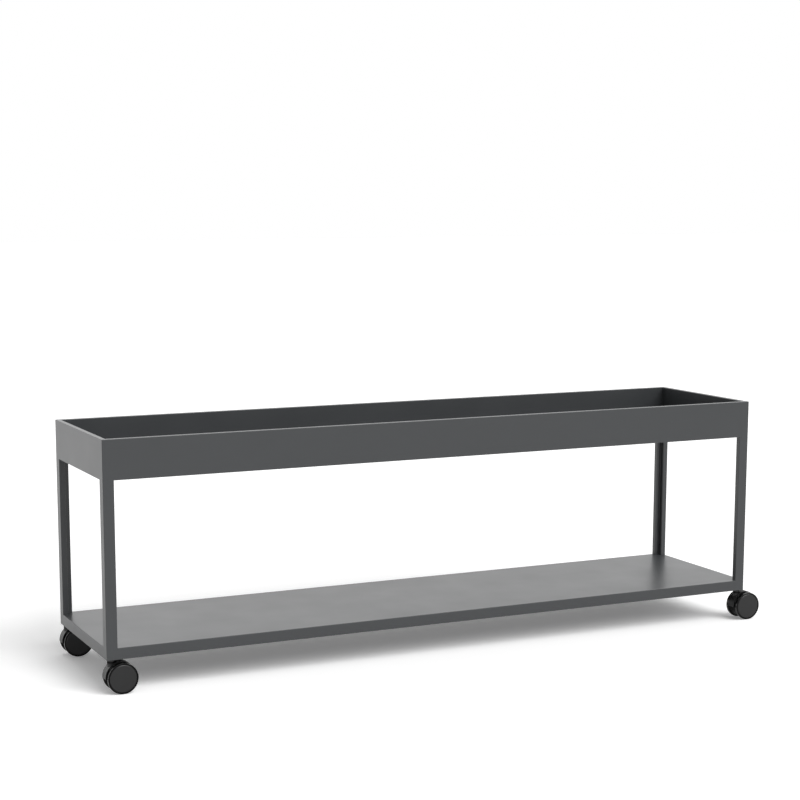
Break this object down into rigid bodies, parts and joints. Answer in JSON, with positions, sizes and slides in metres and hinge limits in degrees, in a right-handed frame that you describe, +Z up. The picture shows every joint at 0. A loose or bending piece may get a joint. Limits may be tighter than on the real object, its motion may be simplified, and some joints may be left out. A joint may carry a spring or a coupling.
{
  "type": "tray trolley",
  "caption": "Long low trolley: a shallow open tray on slim angle posts over a flat lower shelf, on swivelling twin-wheel castors; holds planting pots or other loose things.",
  "frame": {"origin": "on the floor at the middle of the whole part's box, with all castors trailing to +X", "axes": "+X along the length, +Y from the front to the back, +Z up"},
  "size_m": [1.5422, 0.3588, 0.5012],
  "materials": {
    "anthracite_coat": "fine matt anthracite powder coat",
    "cast_metal": "raw casting",
    "black_steel": "blackened",
    "zinc_steel": "bright zinc plated",
    "washer_plastic": "dark moulded plastic",
    "housing_plastic": "fine-grained black moulding",
    "wheel_plastic": "smooth black moulding",
    "tyre_rubber": "soft black tread"
  },
  "bodies": {
    "frame": {"tray_rail_front": "anthracite_coat", "tray_rail_right": "anthracite_coat", "tray_rail_back": "anthracite_coat", "tray_rail_left": "anthracite_coat", "tray_floor": "anthracite_coat", "tray_key_front_left": "cast_metal", "tray_key_front_right": "cast_metal", "tray_key_back_right": "cast_metal", "tray_key_back_left": "cast_metal", "tray_key_screws": "black_steel", "post_front_left": "anthracite_coat", "post_front_right": "anthracite_coat", "post_back_right": "anthracite_coat", "post_back_left": "anthracite_coat", "post_top_screws": "black_steel", "post_bottom_screws": "black_steel", "shelf_pan": "anthracite_coat", "shelf_stiffener_front": "anthracite_coat", "shelf_stiffener_back": "anthracite_coat", "corner_block_front_left": "cast_metal", "corner_block_front_right": "cast_metal", "corner_block_back_right": "cast_metal", "corner_block_back_left": "cast_metal", "castor_front_left_stem": "black_steel", "castor_front_right_stem": "black_steel", "castor_back_right_stem": "black_steel", "castor_back_left_stem": "black_steel"},
    "castor_front_left": {"castor_front_left_washer": "washer_plastic", "castor_front_left_housing": "housing_plastic", "castor_front_left_axle": "zinc_steel"},
    "wheel_front_left_outer": {"castor_front_left_outer_core": "wheel_plastic", "castor_front_left_outer_tyre": "tyre_rubber"},
    "wheel_front_left_inner": {"castor_front_left_inner_core": "wheel_plastic", "castor_front_left_inner_tyre": "tyre_rubber"},
    "castor_front_right": {"castor_front_right_washer": "washer_plastic", "castor_front_right_housing": "housing_plastic", "castor_front_right_axle": "zinc_steel"},
    "wheel_front_right_outer": {"castor_front_right_outer_core": "wheel_plastic", "castor_front_right_outer_tyre": "tyre_rubber"},
    "wheel_front_right_inner": {"castor_front_right_inner_core": "wheel_plastic", "castor_front_right_inner_tyre": "tyre_rubber"},
    "castor_back_right": {"castor_back_right_washer": "washer_plastic", "castor_back_right_housing": "housing_plastic", "castor_back_right_axle": "zinc_steel"},
    "wheel_back_right_outer": {"castor_back_right_outer_core": "wheel_plastic", "castor_back_right_outer_tyre": "tyre_rubber"},
    "wheel_back_right_inner": {"castor_back_right_inner_core": "wheel_plastic", "castor_back_right_inner_tyre": "tyre_rubber"},
    "castor_back_left": {"castor_back_left_washer": "washer_plastic", "castor_back_left_housing": "housing_plastic", "castor_back_left_axle": "zinc_steel"},
    "wheel_back_left_outer": {"castor_back_left_outer_core": "wheel_plastic", "castor_back_left_outer_tyre": "tyre_rubber"},
    "wheel_back_left_inner": {"castor_back_left_inner_core": "wheel_plastic", "castor_back_left_inner_tyre": "tyre_rubber"}
  },
  "joints": [
    {"name": "swivel_front_left", "type": "hinge", "parent": "frame", "child": "castor_front_left", "pos_m": [-0.75665, -0.1589, 0.0682], "axis": [0, 0, 1], "continuous": true},
    {"name": "roll_front_left_outer", "type": "hinge", "parent": "castor_front_left", "child": "wheel_front_left_outer", "pos_m": [-0.73765, -0.1589, 0.031], "axis": [0, 1, 0], "continuous": true},
    {"name": "roll_front_left_inner", "type": "hinge", "parent": "castor_front_left", "child": "wheel_front_left_inner", "pos_m": [-0.73765, -0.1589, 0.031], "axis": [0, 1, 0], "continuous": true},
    {"name": "swivel_front_right", "type": "hinge", "parent": "frame", "child": "castor_front_right", "pos_m": [0.72115, -0.1589, 0.0682], "axis": [0, 0, 1], "continuous": true},
    {"name": "roll_front_right_outer", "type": "hinge", "parent": "castor_front_right", "child": "wheel_front_right_outer", "pos_m": [0.74015, -0.1589, 0.031], "axis": [0, 1, 0], "continuous": true},
    {"name": "roll_front_right_inner", "type": "hinge", "parent": "castor_front_right", "child": "wheel_front_right_inner", "pos_m": [0.74015, -0.1589, 0.031], "axis": [0, 1, 0], "continuous": true},
    {"name": "swivel_back_right", "type": "hinge", "parent": "frame", "child": "castor_back_right", "pos_m": [0.72115, 0.1589, 0.0682], "axis": [0, 0, 1], "continuous": true},
    {"name": "roll_back_right_outer", "type": "hinge", "parent": "castor_back_right", "child": "wheel_back_right_outer", "pos_m": [0.74015, 0.1589, 0.031], "axis": [0, 1, 0], "continuous": true},
    {"name": "roll_back_right_inner", "type": "hinge", "parent": "castor_back_right", "child": "wheel_back_right_inner", "pos_m": [0.74015, 0.1589, 0.031], "axis": [0, 1, 0], "continuous": true},
    {"name": "swivel_back_left", "type": "hinge", "parent": "frame", "child": "castor_back_left", "pos_m": [-0.75665, 0.1589, 0.0682], "axis": [0, 0, 1], "continuous": true},
    {"name": "roll_back_left_outer", "type": "hinge", "parent": "castor_back_left", "child": "wheel_back_left_outer", "pos_m": [-0.73765, 0.1589, 0.031], "axis": [0, 1, 0], "continuous": true},
    {"name": "roll_back_left_inner", "type": "hinge", "parent": "castor_back_left", "child": "wheel_back_left_inner", "pos_m": [-0.73765, 0.1589, 0.031], "axis": [0, 1, 0], "continuous": true}
  ]
}
